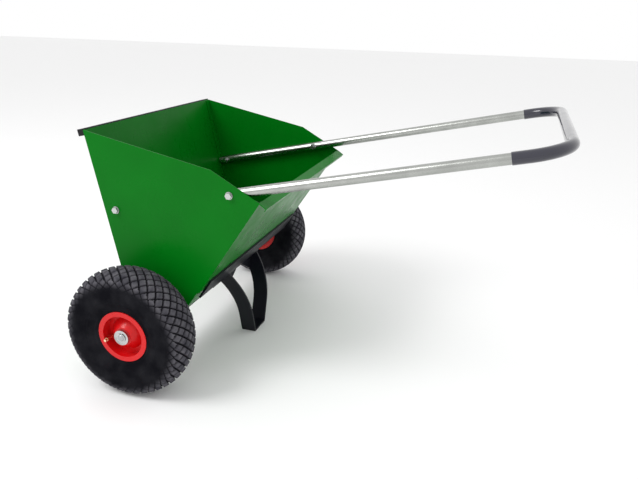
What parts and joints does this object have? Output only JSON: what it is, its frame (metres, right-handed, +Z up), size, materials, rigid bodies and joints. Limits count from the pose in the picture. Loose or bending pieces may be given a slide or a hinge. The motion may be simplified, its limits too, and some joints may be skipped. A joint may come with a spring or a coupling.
{
  "type": "hand spreader",
  "caption": "Walk-behind spreader: wedge-shaped steel hopper on two air-filled wheels, with a tube push handle, stirring axle, outlet shutter and a bow-legged stand.",
  "frame": {"origin": "on the ground, below the middle of the axle", "axes": "+X back to the handle, +Y to the right of the person pushing, +Z up"},
  "size_m": [1.0357, 0.845, 0.6263],
  "materials": {
    "green_powder_coat": "gloss",
    "red_powder_coat": "gloss",
    "black_powder_coat": "satin",
    "black_plastic": "matt",
    "tyre_rubber": "matt",
    "tube_rubber": "matt",
    "grip_rubber": "gloss",
    "bright_tube": "satin",
    "zinc_steel": "bright zinc",
    "plain_steel": "drawn",
    "bronze": "turned",
    "valve_brass": "turned"
  },
  "bodies": {
    "frame": {"left_side_plate": "green_powder_coat", "right_side_plate": "green_powder_coat", "front_wall": "green_powder_coat", "rear_wall": "green_powder_coat", "hopper_floor": "green_powder_coat", "front_rail": "black_powder_coat", "front_rail_plugs": "black_plastic", "cross_bar": "black_powder_coat", "stand_leg": "black_powder_coat", "stand_gussets": "black_powder_coat", "stand_saddle": "black_powder_coat", "handle_tube": "bright_tube", "grip_sleeve": "grip_rubber", "handle_bolts": "zinc_steel", "handle_nuts": "zinc_steel", "handle_washers": "zinc_steel", "left_axle_housing": "black_powder_coat", "right_axle_housing": "black_powder_coat", "axle_bushes": "bronze", "housing_bolts": "zinc_steel", "shutter_guides": "black_powder_coat", "shutter_studs": "zinc_steel", "shutter_washers": "zinc_steel"},
    "drive_axle": {"axle": "plain_steel", "stirring_fingers": "plain_steel", "axle_collars": "plain_steel", "collar_screws": "black_powder_coat", "left_bearing_inner_rings": "zinc_steel", "left_bearing_spacer": "plain_steel", "axle_circlips": "zinc_steel", "right_tyre": "tyre_rubber", "right_inner_tube": "tube_rubber", "right_rim_outer": "red_powder_coat", "right_rim_inner": "red_powder_coat", "right_rim_disc": "red_powder_coat", "right_hub_tube": "zinc_steel", "right_hub_sleeve": "plain_steel", "right_drive_pin": "plain_steel", "right_valve_stem": "valve_brass"},
    "left_wheel": {"left_tyre": "tyre_rubber", "left_inner_tube": "tube_rubber", "left_rim_outer": "red_powder_coat", "left_rim_inner": "red_powder_coat", "left_rim_disc": "red_powder_coat", "left_hub_tube": "zinc_steel", "left_bearing_outer_rings": "zinc_steel", "left_bearing_balls": "zinc_steel", "left_valve_stem": "valve_brass"},
    "shutter": {"shutter_slide": "zinc_steel"},
    "left_wing": {"left_wing_nut": "zinc_steel"},
    "right_wing": {"right_wing_nut": "zinc_steel"}
  },
  "joints": [
    {"name": "axle_spin", "type": "hinge", "parent": "frame", "child": "drive_axle", "pos_m": [0, 0, 0.15], "axis": [0, 1, 0], "continuous": true},
    {"name": "left_wheel_spin", "type": "hinge", "parent": "drive_axle", "child": "left_wheel", "pos_m": [0, -0.375, 0.15], "axis": [0, 1, 0], "continuous": true},
    {"name": "shutter_slide", "type": "slide", "parent": "frame", "child": "shutter", "axis": [0, 1, 0], "range_m": [0, 0.026]},
    {"name": "left_wing_turn", "type": "hinge", "parent": "frame", "child": "left_wing", "pos_m": [-0.006, -0.092, 0.1], "axis": [0, 0, 1], "continuous": true},
    {"name": "right_wing_turn", "type": "hinge", "parent": "frame", "child": "right_wing", "pos_m": [-0.006, 0.092, 0.1], "axis": [0, 0, 1], "continuous": true}
  ]
}
